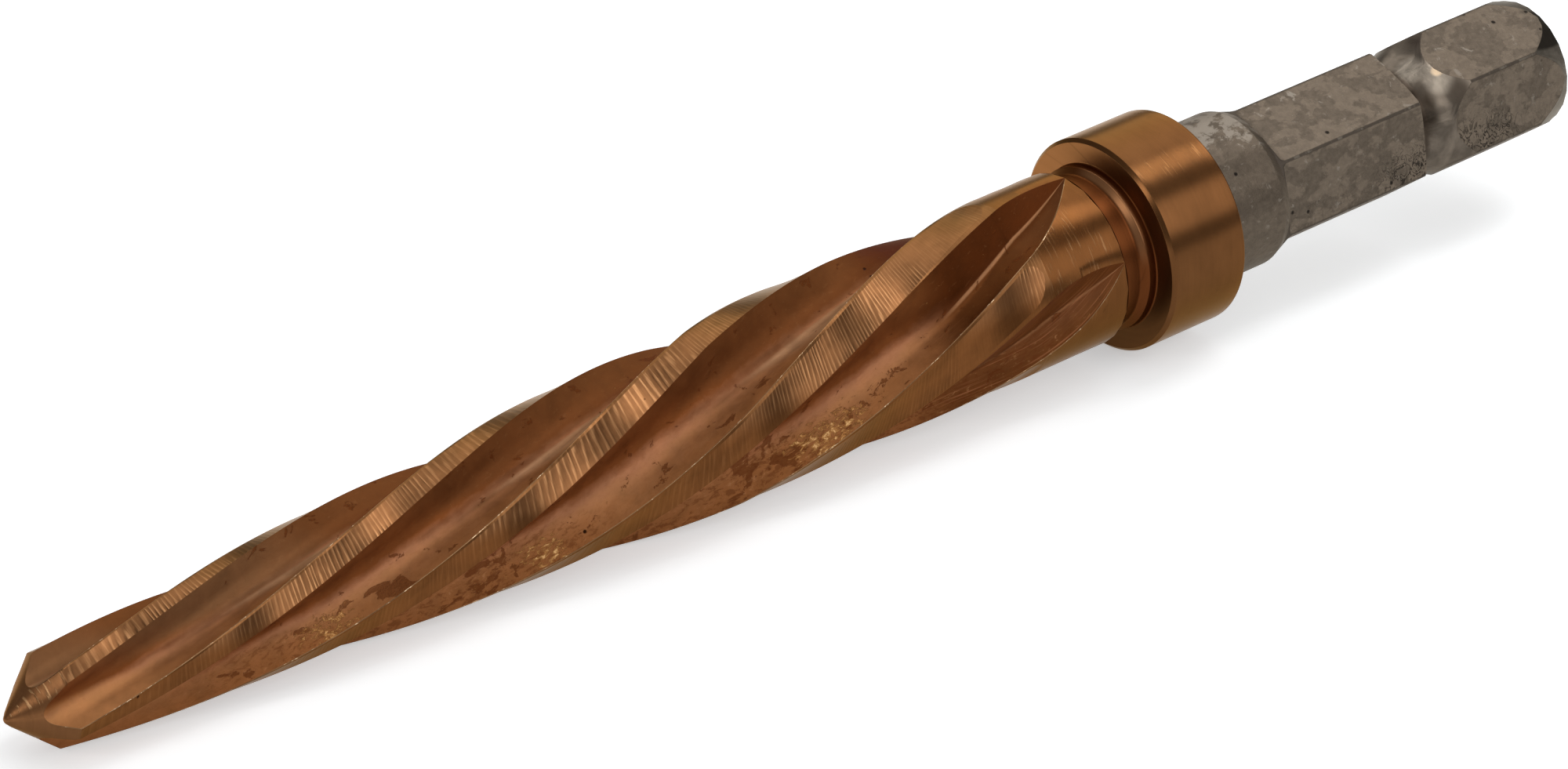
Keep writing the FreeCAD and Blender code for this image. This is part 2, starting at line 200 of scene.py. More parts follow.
class Flute:
    """A flute's section at s: two straight walls, and a round floor that leaves both smoothly."""

    def __init__(self, s):
        radius = edge_radius(s)
        self.wedge = WEDGE + math.radians(OPENING) * opening(s)
        self.half = math.radians(flute_half(s))
        width = radius * math.sin(self.half)
        self.root = radius * math.cos(self.half) - width / math.tan(self.wedge)
        self.floor = (FILL + (EXIT_FILL - FILL) * opening(s) ** 1.5) * width
        self.middle = self.root + self.floor / math.sin(self.wedge)
        self.tangent = math.atan2(self.floor * math.cos(self.wedge),
                                  self.middle - self.floor * math.sin(self.wedge))

    def radius(self, a):
        """Radius of the floor or of a wall at angle a from the flute's middle."""
        a = abs(a)
        if a <= self.tangent:
            inside = self.floor ** 2 - (self.middle * math.sin(a)) ** 2
            return self.middle * math.cos(a) - math.sqrt(max(inside, 0.0))
        return self.root * math.sin(self.wedge) / math.sin(self.wedge - a)

    def reach(self, limit):
        """Angle from the middle at which the flute's surface comes up to limit(angle)."""
        if self.radius(0.0) >= limit(0.0):
            return 0.0
        low, high = 0.0, self.half
        for _ in range(40):
            mid = (low + high) / 2
            low, high = (mid, high) if self.radius(mid) < limit(mid) else (low, mid)
        return low


def body_row(s):
    """One pitch of the section at s: points, zones, and each point's share of its land or flute.

    Angles start at one cutting edge and end at the next. A share is 0 at a cutting edge and 1 at
    a heel.
    """
    radius = turned_radius(s)
    flute = Flute(s)
    turn = PITCH - flute_middle(s)
    flat = flat_distance(s)
    centre = MARGIN + RELIEF
    reach = math.degrees(math.acos(min(flat / radius, 1.0))) if radius > 0 else 0.0

    def land(a):
        """Radius of the land at an angle from the cutting edge."""
        if abs(a - centre) < reach:
            return min(radius, flat / math.cos(math.radians(a - centre)))
        return radius

    near = math.degrees(flute.reach(lambda a: radius))
    far = math.degrees(flute.reach(lambda a: land(turn - math.degrees(a))))
    edge, heel = turn + near - PITCH, turn - far

    # The worn edge, the margin, the flat and the land behind it
    wear = min(math.degrees(EDGE_WEAR / max(radius, 0.3)), 0.25 * MARGIN, 0.2 * near + 1e-3)
    worn_to = edge + 2.2 * wear
    start = max(min(centre - reach, heel), edge + 2.5 * wear)
    stop = max(min(centre + reach, heel), start)
    angles = [edge + wear, worn_to] + spread(worn_to, start, MARGIN_STEPS)
    zones = [EDGE] + [MARGIN_MAT] * (1 + MARGIN_STEPS)
    angles += spread(start, stop, FLAT_STEPS)
    zones += [LAND] * FLAT_STEPS
    angles += spread(stop, heel, BACK_STEPS)
    zones += [MARGIN_MAT] * BACK_STEPS
    points = [polar(land(a), a) for a in angles]
    shares = [(a - edge) / (heel - edge) for a in angles]

    # The flute: its heel wall, its floor and the wall under the next cutting edge
    tangent = math.degrees(flute.tangent)
    first, last = min(tangent, far), min(tangent, near)
    lean = float(np.interp(s, LEAN_S, LEAN))
    inner = [-far + (far - first) * t for t in HEEL_WALL]
    inner += spread(-first, last, FLOOR_STEPS)
    inner += [last + (near - last) * t for t in CUT_WALL]
    for a in inner:
        limit = max(near if a > 0 else far, 1e-6)
        shifted = a + min(lean, 0.6 * limit) * (1 - (a / limit) ** 2)
        points.append(polar(min(flute.radius(math.radians(a)), radius), turn + shifted))
        zones.append(FLUTE)
        shares.append((near - shifted) / max(near + far, 1e-6))

    # The next cutting edge is blunted on both sides, and the first one is its copy.
    corner = polar(radius, edge + PITCH)
    inward = np.exp(1j * (math.radians(turn) + flute.wedge))
    before = corner - (EDGE_WEAR if near > 1.0 else 0.0) * inward
    turn_back = np.exp(-1j * math.radians(PITCH))
    worn = 0.25 * points[0] + 0.5 * corner * turn_back + 0.25 * before * turn_back
    points = [worn] + points + [before]
    shares = [0.0] + shares + [0.0]
    zones = zones + [FLUTE, EDGE]
    if s < POINT_END:
        zones = [CONE if zone not in (FLUTE, EDGE) else zone for zone in zones]
    elif s > RELIEF_END + RELIEF_EXIT:
        zones = [TURNED if zone in (LAND, MARGIN_MAT) else zone for zone in zones]
    return np.array(points), zones, shares


def body_stations():
    """Places along the fluted body, close together where its shape changes quickly."""
    flutes_start = (Flute(LEAD_IN).radius(0.0) - NOSE_R) / POINT_SLOPE
    flats_end = RELIEF_END + RELIEF_EXIT
    rows = list(NOSE_S)
    rows += list(np.linspace(0.6, flutes_start - 0.05, 6))
    rows += [flutes_start + (POINT_END - flutes_start) * (k / 12) ** 2 for k in range(12)]
    rows += [POINT_END - 0.02, POINT_END + 0.03]
    rows += list(np.arange(POINT_END + 0.3, RELIEF_END - 0.3, 0.42))
    rows += list(np.arange(RELIEF_END, flats_end, 0.14))
    rows += list(np.arange(flats_end, BODY_END - 1.2, 0.3))
    rows += list(np.linspace(BODY_END - 1.1, BODY_END - 0.12, 7))
    rows += [BODY_END - RIM, BODY_END - RIM / 2, BODY_END - 0.015, BODY_END]
    return sorted(rows)


class Skin:
    """Collects grids of quads, with a zone for each face and three sets of map coordinates.

    flow is (s, distance round the section), polar is (s, angle in the photo), and share is
    (share of the land, flute or flat, radius over the full radius).
    """

    def __init__(self):
        self.points, self.faces, self.zones = [], [], []
        self.maps = {"flow": [], "polar": [], "share": []}
        self.count = 0

    def grid(self, stations, rings, zones, across, shares):
        """rings[row][column] closes on itself; across and shares have one column more."""
        rows, cols = len(rings), len(rings[0])
        rings = np.array(rings)
        self.points.append(place(np.array(stations)[:, None], rings).reshape(-1, 3))
        full = np.array([max(edge_radius(s), 1e-6) for s in stations])
        closed = np.concatenate([rings, rings[:, :1]], 1)
        angle = -np.degrees(np.unwrap(np.angle(closed + 1e-12), axis=1)) + PHOTO_TURN
        depth = np.abs(closed) / full[:, None]
        for i in range(rows - 1):
            for j in range(cols):
                k = (j + 1) % cols
                quad = ((i, j), (i + 1, j), (i + 1, k), (i, k))
                self.faces.append([self.count + a * cols + b for a, b in quad])
                self.zones.append(zones[i][j])
                corners = ((i, j), (i + 1, j), (i + 1, j + 1), (i, j + 1))
                # The map's seam lies 180 degrees from 60, on the side that the photo hides.
                first = angle[i][j]
                base = first - 360 * round((first - 60) / 360)
                for a, b in corners:
                    turned = base + ((angle[a][b] - first + 180) % 360 - 180)
                    self.maps["flow"].append((stations[a], across[a][b]))
                    self.maps["polar"].append((stations[a], turned))
                    self.maps["share"].append((shares[a][b], depth[a][b]))
        self.count += rows * cols

    def cap(self, station, ring, zone):
        """Closes the last ring with a fan."""
        ring = np.array(ring)
        cols = len(ring)
        first = self.count
        self.points.append(place(station, np.concatenate([ring, [0j]])).reshape(-1, 3))
        for j in range(cols):
            k = (j + 1) % cols
            self.faces.append([first + j, first + cols, first + k])
            self.zones.append(zone)
            for z in (ring[j], 0j, ring[k]):
                self.maps["flow"].append((station + z.real, z.imag))
                self.maps["polar"].append((station, 90.0))
                self.maps["share"].append((0.0, abs(z) / BODY_R))
        self.count += cols + 1


def fluted_body(skin):
    stations, rings, zones, across, shares = body_stations(), [], [], [], []
    next_pitch = np.exp(1j * math.radians(PITCH))
    apart = 30  # sets the five pitches apart in the flow map, so that their marks differ
    for s in stations:
        section, zone, share = body_row(s)
        roll = EDGE_ROLL - 360.0 / LEAD * s
        step = np.abs(np.diff(np.concatenate([section, [section[0] * next_pitch]])))
        path = np.concatenate([[0.0], np.cumsum(step)])
        ring, ring_across = [], []
        for k in range(COUNT):
            ring += list(section * np.exp(1j * math.radians(roll + PITCH * k)))
            ring_across += list(path[:-1] + apart * k)
        rings.append(ring)
        zones.append(zone * COUNT)
        across.append(ring_across + [path[-1] + apart * (COUNT - 1)])
        shares.append(share * COUNT + [0.0])
    skin.grid(stations, rings, zones, across, shares)


def rounded(profile, steps):
    """Profile points (s, r, rounding) as (s, r) points, with each inner corner rounded."""
    places = [np.array(entry[:2], float) for entry in profile]
    points = [places[0]]
    for before, here, after, entry in zip(places, places[1:], places[2:], profile[1:]):
        a, b = before - here, after - here
        la, lb = np.linalg.norm(a), np.linalg.norm(b)
        a, b = a / la, b / lb
        angle = math.acos(max(-1, min(1, float(a @ b))))
        cut = min(entry[2] / math.tan(angle / 2), 0.45 * la, 0.45 * lb)
        for t in np.linspace(0, 1, steps + 1):
            points.append(here + cut * ((1 - t) ** 2 * a + t ** 2 * b))
    points.append(places[-1])
    return points


def filled(points, longest):
    """Adds points on long runs."""
    full = [points[0]]
    for a, b in zip(points, points[1:]):
        n = max(1, int(math.ceil(np.linalg.norm(b - a) / longest)))
        full += [a + (b - a) * k / n for k in range(1, n + 1)]
    return full


def neck_and_collar(skin):
    profile = [(BODY_END, BODY_R - RIM_DROP, 0), (BODY_END, NECK_R, 0.25), (HUB_START, NECK_R, 0.4),
               (HUB_START + HUB_BEVEL, HUB_R, 0.16), (COLLAR_START, HUB_R, 0.15),
               (COLLAR_START, COLLAR_R - COLLAR_CHAMFER, 0.05),
               (COLLAR_START + COLLAR_CHAMFER, COLLAR_R, 0.05), (COLLAR_END, COLLAR_R, 0.12),
               (COLLAR_END, SHANK_R, 0.12), (HEX_START - SHOULDER, SHANK_R, 0.6),
               (HEX_START, HEX_CORNER_R, 0)]

    def zone_of(s, r):
        if s > COLLAR_END + 0.001 or (s > COLLAR_END - 0.001 and r < SHANK_R + 0.05):
            return SHANK
        if s < COLLAR_START - 0.02 and r < HUB_R + 0.35:
            return NECK
        return FACE if s < COLLAR_START + 0.02 else COLLAR

    cols = ROUND_COLUMNS
    points = filled(rounded(profile, steps=4), longest=0.8)
    angles = np.linspace(0, 360, cols, endpoint=False)
    rings = [polar(r, angles) for _, r in points]
    zones = [[zone_of(*((a + b) / 2))] * cols for a, b in zip(points, points[1:])]
    across = [r * np.radians(np.linspace(0, 360, cols + 1)) for _, r in points]
    shares = np.full((len(points), cols + 1), 0.5)
    skin.grid([p[0] for p in points], rings, zones, across, shares)


def hexagon(skin):
    """The hexagon, with its blunted corners, the ball groove and the long bevel at the end."""
    root = HEX_CORNER_R - GROOVE_DEPTH
    profile = [(HEX_START, HEX_CORNER_R, 0), (GROOVE_START, HEX_CORNER_R, 0.12),
               (GROOVE_FOOT - 0.1, root + GROOVE_HOLLOW, 0.9),
               (GROOVE_FOOT + GROOVE_HOLLOW, root, 0.9), (GROOVE_RAMP, root, 1.2),
               (GROOVE_END, HEX_CORNER_R, 0.5), (OVERALL - END_BEVEL, HEX_CORNER_R, 0.3),
               (OVERALL, HEX_CORNER_R - END_DROP, 0)]
    stations, rings, zones, across, shares = [], [], [], [], []
    for s, r in filled(rounded(profile, steps=6), longest=0.35):
        rise = max(0.0, 1 - (s - HEX_START) / HEX_RISE) ** 2 * (HEX_CORNER_R - HEX_APOTHEM)
        apothem = HEX_APOTHEM + rise
        # Half of the angle that a flat takes, with narrow columns at its ends
        beta = math.degrees(math.acos(min(1.0, apothem / r)))
        soft = min(0.7, beta * 0.2)
        inner = np.linspace(-beta + soft, beta - soft, HEX_COLUMNS - 1)
        column = [-beta] + list(inner) + [beta] + spread(beta, 60 - beta, 4)[:-1]
        if GROOVE_START < s < GROOVE_END:
            blunt = GROOVE
        else:
            blunt = BEVEL if s > OVERALL - END_BEVEL else CORNER
        ring, path, share, zone = [], [], [], []
        for k in range(6):
            for n, a in enumerate(column):
                radius = apothem / math.cos(math.radians(a)) if abs(a) < beta else r
                ring.append(polar(min(radius, r), a + HEX_ROLL + 30 + 60 * k))
                path.append(radius * math.sin(math.radians(min(a, 60 - a))) + HEX_SIDE * k)
                share.append(min(abs(a) / max(beta, 1e-6), 1.0))
                zone.append(HEXFLAT if n < HEX_COLUMNS and beta > 1.0 else blunt)
        stations.append(s)
        rings.append(ring)
        zones.append(zone)
        across.append(path + [path[0] + HEX_SIDE * 6])
        shares.append(share + [share[0]])
    skin.grid(stations, rings, zones, across, shares)
    skin.cap(OVERALL, rings[-1], SHANK)


def build_skin():
    skin = Skin()
    fluted_body(skin)
    neck_and_collar(skin)
    hexagon(skin)
    mesh = bpy.data.meshes.new("reamer")
    mesh.from_pydata(np.concatenate(skin.points).tolist(), [], skin.faces)
    for name, values in skin.maps.items():
        layer = mesh.uv_layers.new(name=name)
        layer.data.foreach_set("uv", np.array(values, np.float32).ravel())
    mesh.polygons.foreach_set("material_index", np.array(skin.zones, np.int32))
    mesh.polygons.foreach_set("use_smooth", np.ones(len(skin.faces), bool))
    mesh.update()
    piece = bpy.data.objects.new("reamer", mesh)
    bpy.context.scene.collection.objects.link(piece)
    bm = bmesh.new()
    bm.from_mesh(mesh)
    bmesh.ops.remove_doubles(bm, verts=bm.verts, dist=2e-7)
    bmesh.ops.dissolve_degenerate(bm, dist=1e-7, edges=bm.edges)
    bmesh.ops.recalc_face_normals(bm, faces=bm.faces)
    for e in bm.edges:
        if len(e.link_faces) == 2:
            pair = {f.material_index for f in e.link_faces}
            e.smooth = e.calc_face_angle(0.0) <= CRISP_ANGLE and pair not in CRISP
    bm.to_mesh(mesh)
    bm.free()
    print("reamer mesh: %d faces, %d vertices" % (len(mesh.polygons), len(mesh.vertices)))
    return piece


# Materials
# Marks are placed by the tool's own maps. A turn is an angle of the polar map, so turns under 60
# face the floor and turns over 120 face up and back. Colours are linear. A rim is the tint of a
# metal's reflection at a grazing angle. Depths of bumps are metres.
# Many tints and levels that follow the turn are painted shade and painted light.
BRONZE_RIM = (0.86, 0.70, 0.54)
FLUTE_RIM = (0.66, 0.42, 0.23)
STEEL_RIM = (0.8, 0.75, 0.68)
BRONZE_PIT = (0.02, 0.006, 0.002)
TURNED_PIT = (0.03, 0.010, 0.004)
STEEL_PIT = (0.014, 0.011, 0.009)

LAND_BASE = (0.180, 0.078, 0.031)
MARGIN_BASE = (0.162, 0.070, 0.026)
# The low-side colour is painted shade, and the line colour is a painted highlight on the crests of
# the grinding waves.
LAND_LOW_SHADE = (0.130, 0.047, 0.0135)
LAND_LINE_HIGHLIGHT = (0.56, 0.30, 0.135)
# Waves left across the lands by the grinding wheel: from, to, and how far apart they are.
WAVES = ((0, 12, 0.8), (12, 37, 0.42), (37, 62, 0.68), (62, 100, 0.36))

# A flute's colours by share of the way from the cutting edge to the heel, and tints over them. They
# are painted light and shade: the heel wall is painted darker and the floor's middle lighter, and
# the tints are painted shade on the low side, on the upper floors and heel walls, and a painted
# highlight on the upper rake walls.
FLUTE_SHADING_RAMP = [(0.02, (0.295, 0.120, 0.043)), (0.20, (0.345, 0.152, 0.063)),
              (0.38, (0.350, 0.150, 0.072)), (0.47, (0.275, 0.106, 0.047)),
              (0.62, (0.188, 0.058, 0.016)), (0.97, (0.200, 0.068, 0.020))]
FLUTE_LOWEST_SHADE = (0.215, 0.070, 0.019)
FLUTE_MIDDLE_SHADE = (0.05, 0.014, 0.003)
FLUTE_HEEL_SHADE = (0.030, 0.015, 0.007)
FLUTE_RAKE_HIGHLIGHT = (0.52, 0.30, 0.16)
# The run-out's wall colours are painted shade, and its crease colour is a painted highlight.
EXIT_NEAR_SHADE = (0.102, 0.030, 0.007)
EXIT_FAR_SHADE, EXIT_FAR_LOW_SHADE = (0.068, 0.016, 0.003), (0.112, 0.038, 0.010)
EXIT_CREASE_HIGHLIGHT = (0.44, 0.22, 0.105)
# Tints of two patches on the flutes near the tip: a lighter gold one and a paler one.
TIP_LIGHTER = (0.46, 0.205, 0.078)
PALE = (0.215, 0.112, 0.052)
RUST = (0.110, 0.028, 0.006)
MOTTLE_DARK, MOTTLE_LIGHT = (0.120, 0.032, 0.008), (0.42, 0.19, 0.080)
GOLD, BRIGHT_GOLD = (0.42, 0.195, 0.060), (0.70, 0.42, 0.18)
SCRATCH = (0.34, 0.13, 0.055)

# The cutting edge's lighter stretches and bright nicks are wear, and painted glints too.
EDGE_DULL, EDGE_WEAR_AND_SHEEN, EDGE_NICK_GLINT = (0.14, 0.075, 0.036), (0.24, 0.135, 0.065), (0.72, 0.52, 0.33)
# A painted highlight on the hub's front.
HUB_RING_HIGHLIGHT = (0.36, 0.17, 0.075)
# Light worn patches on the steel; more and stronger on the upper side as a painted highlight.
STEEL_WEAR_AND_SHEEN = (0.27, 0.235, 0.195)
STEEL_LINE = (0.018, 0.014, 0.011)
FLAT_EDGE = (0.022, 0.017, 0.013)
CORNER_GRIME, CORNER_WORN = (0.060, 0.048, 0.038), (0.110, 0.093, 0.074)
# The bevel's second colour is a painted dark reflection.
BEVEL_BASE, BEVEL_DARK_REFLECTION = (0.120, 0.104, 0.084), (0.016, 0.013, 0.010)
# The groove's second colour is painted shade on its steep side.
GROOVE_BASE, GROOVE_WALL_SHADE = (0.125, 0.102, 0.080), (0.034, 0.024, 0.017)

# A soft patch around one place of the polar map, with its half sizes along s and across.
Spot = namedtuple("Spot", "s turn half_s half_turn")
TIP_LIGHTER_SPOT = Spot(6.5, 60.0, 8.0, 30.0)
PALE_SPOT = Spot(8.0, 142.0, 26.0, 50.0)
# Where the bevel's painted dark reflection lies.
BEVEL_REFLECTION_SPOT = Spot(151.0, 111.0, 5.0, 24.0)
RUSTY = (Spot(31.5, 56.0, 2.2, 12.0), Spot(39.5, 32.0, 3.5, 24.0), Spot(65.0, 34.0, 5.0, 22.0))
GOLDEN = (Spot(24.5, 48.0, 4.5, 22.0), Spot(44.5, 31.0, 3.5, 13.0), Spot(71.5, 38.0, 7.5, 20.0))
# The groove's painted highlights, painted shade and at last a hot painted highlight, each with its
# strength and tint.
GROOVE_HIGHLIGHTS_AND_SHADE = (
    (Spot(138.8, 107.0, 1.5, 19.0), 0.9, (0.42, 0.36, 0.29)),
    (Spot(138.2, 78.0, 0.9, 15.0), 0.7, (0.28, 0.23, 0.18)),
    (Spot(137.6, 128.0, 1.5, 17.0), 0.9, (0.36, 0.31, 0.25)),
    (Spot(139.8, 88.0, 1.2, 15.0), 0.85, (0.040, 0.030, 0.022)),
    (Spot(136.8, 86.0, 1.3, 34.0), 0.95, (0.026, 0.018, 0.012)),
    (Spot(140.0, 149.0, 1.7, 20.0), 1.0, (0.026, 0.019, 0.015)),
    (Spot(139.2, 112.5, 0.7, 6.0), 0.9, (0.95, 0.70, 0.45)))
# Arcs worn into a turned face around a spot, painted lighter as highlight lines; more is how many
# beyond the usual.
Score = namedtuple("Score", "spot more tint")


class Look:
    """Writes one node material; a value may be a socket or a number."""

    def __init__(self, name):
        self.material = bpy.data.materials.new(name)
        self.material.use_nodes = True
        self.tree = self.material.node_tree
        self.tree.nodes.clear()
        self.out = self.tree.nodes.new("ShaderNodeOutputMaterial")

    def node(self, kind, inputs=None, **settings):
        made = self.tree.nodes.new("ShaderNode" + kind)
        for key, value in settings.items():
            setattr(made, key, value)
        for key, value in (inputs or {}).items():
            if isinstance(value, bpy.types.NodeSocket):
                self.tree.links.new(value, made.inputs[key])
            else:
                made.inputs[key].default_value = value
        return made

    def math(self, operation, a, b=0.0):
        return self.node("Math", {0: a, 1: b}, operation=operation).outputs[0]

    def add(self, first, *rest):
        for value in rest:
            first = self.math("ADD", first, value)
        return first

    def times(self, first, *rest):
        for value in rest:
            first = self.math("MULTIPLY", first, value)
        return first

    def most(self, first, *rest):
        for value in rest:
            first = self.math("MAXIMUM", first, value)
        return first

    def uv(self, name):
        return self.node("UVMap", uv_map=name).outputs[0]

    def axes(self, vector):
        parts = self.node("SeparateXYZ", {0: vector})
        return parts.outputs[0], parts.outputs[1]

    def stretch(self, vector, x, y, dx=0.0, dy=0.0):
        return self.node("Mapping", {0: vector, 1: (dx, dy, 0.0), 3: (x, y, 1.0)}).outputs[0]

    def noise(self, vector, scale, detail, rough, twist=0.0):
        made = self.node("TexNoise", {"Vector": vector, "Scale": scale, "Detail": detail,
                                      "Roughness": rough, "Distortion": twist})
        return made.outputs[0]

    def clouds(self, vector, along, across, detail, rough, twist=0.0, shift=(0.0, 0.0)):
        """Noise with a fineness along and one across; a shift gives it a pattern of its own."""
        return self.noise(self.stretch(vector, along, across, *shift), 1.0, detail, rough, twist)

    def band(self, value, low, high, out_low=0.0, out_high=1.0, smooth=True):
        """value from low to high becomes out_low to out_high; low may be above high."""
        made = self.node("MapRange", {0: value, 1: low, 2: high, 3: out_low, 4: out_high},
                         interpolation_type="SMOOTHSTEP" if smooth else "LINEAR", clamp=True)
        return made.outputs[0]

    def between(self, value, a, b, c, d):
        """0 below a, 1 from b to c, and 0 above d."""
        return self.times(self.band(value, a, b), self.band(value, d, c))

    def vary(self, noise, low, high, smooth=True):
        """The usual span of noise as values from low to high."""
        return self.band(noise, 0.3, 0.7, low, high, smooth)

    def blend(self, mask, out_low, out_high):
        """out_low where the mask is 0, and out_high where it is 1."""
        return self.band(mask, 0.0, 1.0, out_low, out_high)

    def mix(self, factor, a, b, mode="MIX"):
        made = self.node("Mix", data_type="RGBA", blend_type=mode)
        for socket, value in ((made.inputs[0], factor), (made.inputs[6], a), (made.inputs[7], b)):
            if isinstance(value, bpy.types.NodeSocket):
                self.tree.links.new(value, socket)
            elif socket.type == "RGBA":
                socket.default_value = (*value, 1.0)
            else:
                socket.default_value = value
        return made.outputs[2]

    def paint(self, colour, tint, *masks):
        """The colour, with the tint mixed in by the product of the masks."""
        return self.mix(self.times(*masks), colour, tint)

    def shade(self, colour, level):
        """The colour times a level that varies over the surface."""
        grey = self.node("CombineColor", {0: level, 1: level, 2: level}).outputs[0]
        return self.mix(1.0, colour, grey, "MULTIPLY")

    def ramp(self, factor, stops):
        made = self.node("ValToRGB", {0: factor})
        ramp = made.color_ramp
        while len(ramp.elements) < len(stops):
            ramp.elements.new(0.5)
        for element, (at, colour) in zip(ramp.elements, stops):
            element.position = at
            element.color = (*colour, 1.0)
        return made.outputs[0]

    def pits(self, vector, scale, size, keep):
        """1 inside small scattered pits, 0 elsewhere: keep is the share of cells that have one."""
        cell = self.node("TexVoronoi", {"Vector": vector, "Scale": scale})
        chosen = self.math("LESS_THAN", self.axes(cell.outputs["Color"])[0], keep)
        return self.times(self.band(cell.outputs["Distance"], size, size * 0.4), chosen)

    def spot(self, vector, where):
        """A soft patch, 1 in its middle."""
        s, turn = self.axes(vector)
        squares = []
        for value, middle, half in ((s, where.s, where.half_s),
                                    (turn, where.turn, where.half_turn)):
            away = self.math("DIVIDE", self.math("SUBTRACT", value, middle), half)
            squares.append(self.math("POWER", away, 2.0))
        return self.band(self.add(*squares), 1.0, 0.0)

    def metal(self, colour, rough, height, depth, metallic=1.0, rim=BRONZE_RIM, specular=0.5):
        """Finishes the material with a metal shader; depth is how deep the height's bumps are."""
        bump = self.node("Bump", {"Height": height, "Distance": depth, "Strength": 1.0}).outputs[0]
        shader = self.node("BsdfPrincipled", {"Base Color": colour, "Roughness": rough,
                                              "Metallic": metallic, "Normal": bump,
                                              "Specular IOR Level": specular,
                                              "Specular Tint": (*rim, 1.0)})
        self.tree.links.new(shader.outputs[0], self.out.inputs[0])
        return self.material


def ripple_wave(look, flow):
    """The grinding wheel's waves, from -1 to 1. They lean a little and wander."""
    s, across = look.axes(flow)
    parts = [look.band(s, start, stop, 0.0, (stop - start) / spacing, smooth=False)
             for start, stop, spacing in WAVES]
    uneven = look.clouds(flow, 0.8, 0.10, 2.0, 0.5)
    phase = look.add(*parts, look.times(across, 0.22), look.times(uneven, 2.4))
    return look.math("SINE", look.times(phase, 2 * math.pi))


def land_look(name, base, ripple):
    """Ground bronze, with painted shade on its low and upper far side and painted highlights on the
    crests of its waves; ripple is how strongly the grinding wheel's waves show.
    """
    look = Look(name)
    flow = look.uv("flow")
    s, turned = look.axes(look.uv("polar"))
    low = look.band(turned, 84.0, 66.0)
    cloud = look.clouds(flow, 0.22, 0.4, 4.0, 0.55)
    wave = ripple_wave(look, flow)

    # The waves are grinding marks whose crests are painted as pale highlight lines. They fade in
    # patches, on the low and the far side, and on the last of the flats.
    patch = look.clouds(flow, 0.16, 0.3, 3.0, 0.5, shift=(5.3, 1.7))
    patch = look.band(patch, 0.36, 0.62, 0.35, 1.0)
    smooth_end = look.between(s, 82.5, 84.5, 90.5, 91.6)
    strength = look.times(patch, look.blend(smooth_end, 1.0, 0.15), look.blend(low, 1.0, 0.35),
                          look.band(turned, 128.0, 148.0, 1.0, 0.45), ripple)
    line = look.times(look.band(wave, 0.1, 1.0), strength)
    fine = look.clouds(flow, 7.0, 0.45, 3.0, 0.6, shift=(3.0, 0.0))
    wave_highlight = look.times(line, look.band(fine, 0.35, 0.62, 0.25, 1.0))
    # Painted shade: the level drops on the upper far side, and the low side takes the darker colour
    # below.
    level = look.add(look.vary(cloud, 0.80, 1.16), look.times(line, 0.30),
                     look.band(turned, 132.0, 158.0, 0.0, -0.20),
                     look.times(strength, -0.22), look.vary(fine, -0.07, 0.07))
    colour = look.shade(base, level)
    colour = look.paint(colour, look.shade(LAND_LOW_SHADE, level), low, 0.85)
    colour = look.paint(colour, LAND_LINE_HIGHLIGHT, wave_highlight, look.blend(low, 0.42, 0.10))
    dark = look.pits(look.stretch(flow, 1.0, 1.0, 0.37, 0.11), 0.55, size=0.09, keep=0.12)
    colour = look.paint(colour, BRONZE_PIT, dark)

    grain = look.clouds(flow, 6.0, 1.2, 3.0, 0.6)
    height = look.add(look.times(wave, strength), look.times(grain, 0.25))
    return look.metal(colour, 0.28, height, 0.0000085)


def flute_shading(look, flow, share, turned, lowest):
    """A flute's painted light and shade across its width, with a ragged border between its light
    and dark part.
    """
    sway = look.clouds(flow, 0.12, 0.3, 2.0, 0.5)
    jagged = look.clouds(flow, 0.55, 0.9, 6.0, 0.62, 0.4, shift=(6.1, 2.2))
    across = look.add(share, look.times(look.add(sway, -0.5), 0.22),
                      look.times(look.add(jagged, -0.5), 0.30))
    colour = look.ramp(across, FLUTE_SHADING_RAMP)
    # Painted shade: darker where the flutes face the floor, on the upper floors and on the upper
    # heel walls.
    colour = look.paint(colour, FLUTE_LOWEST_SHADE, lowest, 0.5)
    middle = look.times(look.between(turned, 82.0, 100.0, 122.0, 136.0),
                        look.between(share, 0.20, 0.32, 0.46, 0.60))
    colour = look.paint(colour, FLUTE_MIDDLE_SHADE, middle, 0.42)
    heel = look.times(look.band(turned, 104.0, 124.0), look.band(share, 0.36, 0.52))
    colour = look.paint(colour, FLUTE_HEEL_SHADE, heel, 0.36)
    # A painted highlight on the upper rake walls.
    rake_highlight = look.times(look.between(turned, 102.0, 116.0, 150.0, 170.0),
                      look.band(share, 0.40, 0.28))
    return look.paint(colour, FLUTE_RAKE_HIGHLIGHT, rake_highlight, 0.75)


def run_out_shading(look, colour, s, share, low):
    """Paints shade on the run-out's two walls, with a painted highlight line in the crease between
    them.
    """
    crease = look.band(s, 84.0, 93.5, 0.26, 0.50, smooth=False)
    off = look.math("SUBTRACT", share, crease)
    closing = look.times(look.band(s, 79.0, 86.0), look.band(low, 1.0, 0.0, 0.85, 1.0))
    far_wall = look.mix(low, EXIT_FAR_SHADE, EXIT_FAR_LOW_SHADE)
    walls = look.mix(look.band(off, -0.02, 0.03), EXIT_NEAR_SHADE, far_wall)
    colour = look.paint(colour, walls, closing, 0.95)
    return look.paint(colour, EXIT_CREASE_HIGHLIGHT, look.between(off, -0.065, -0.02, 0.01, 0.045),
                      look.band(s, 83.5, 87.0), look.blend(low, 0.55, 0.22))


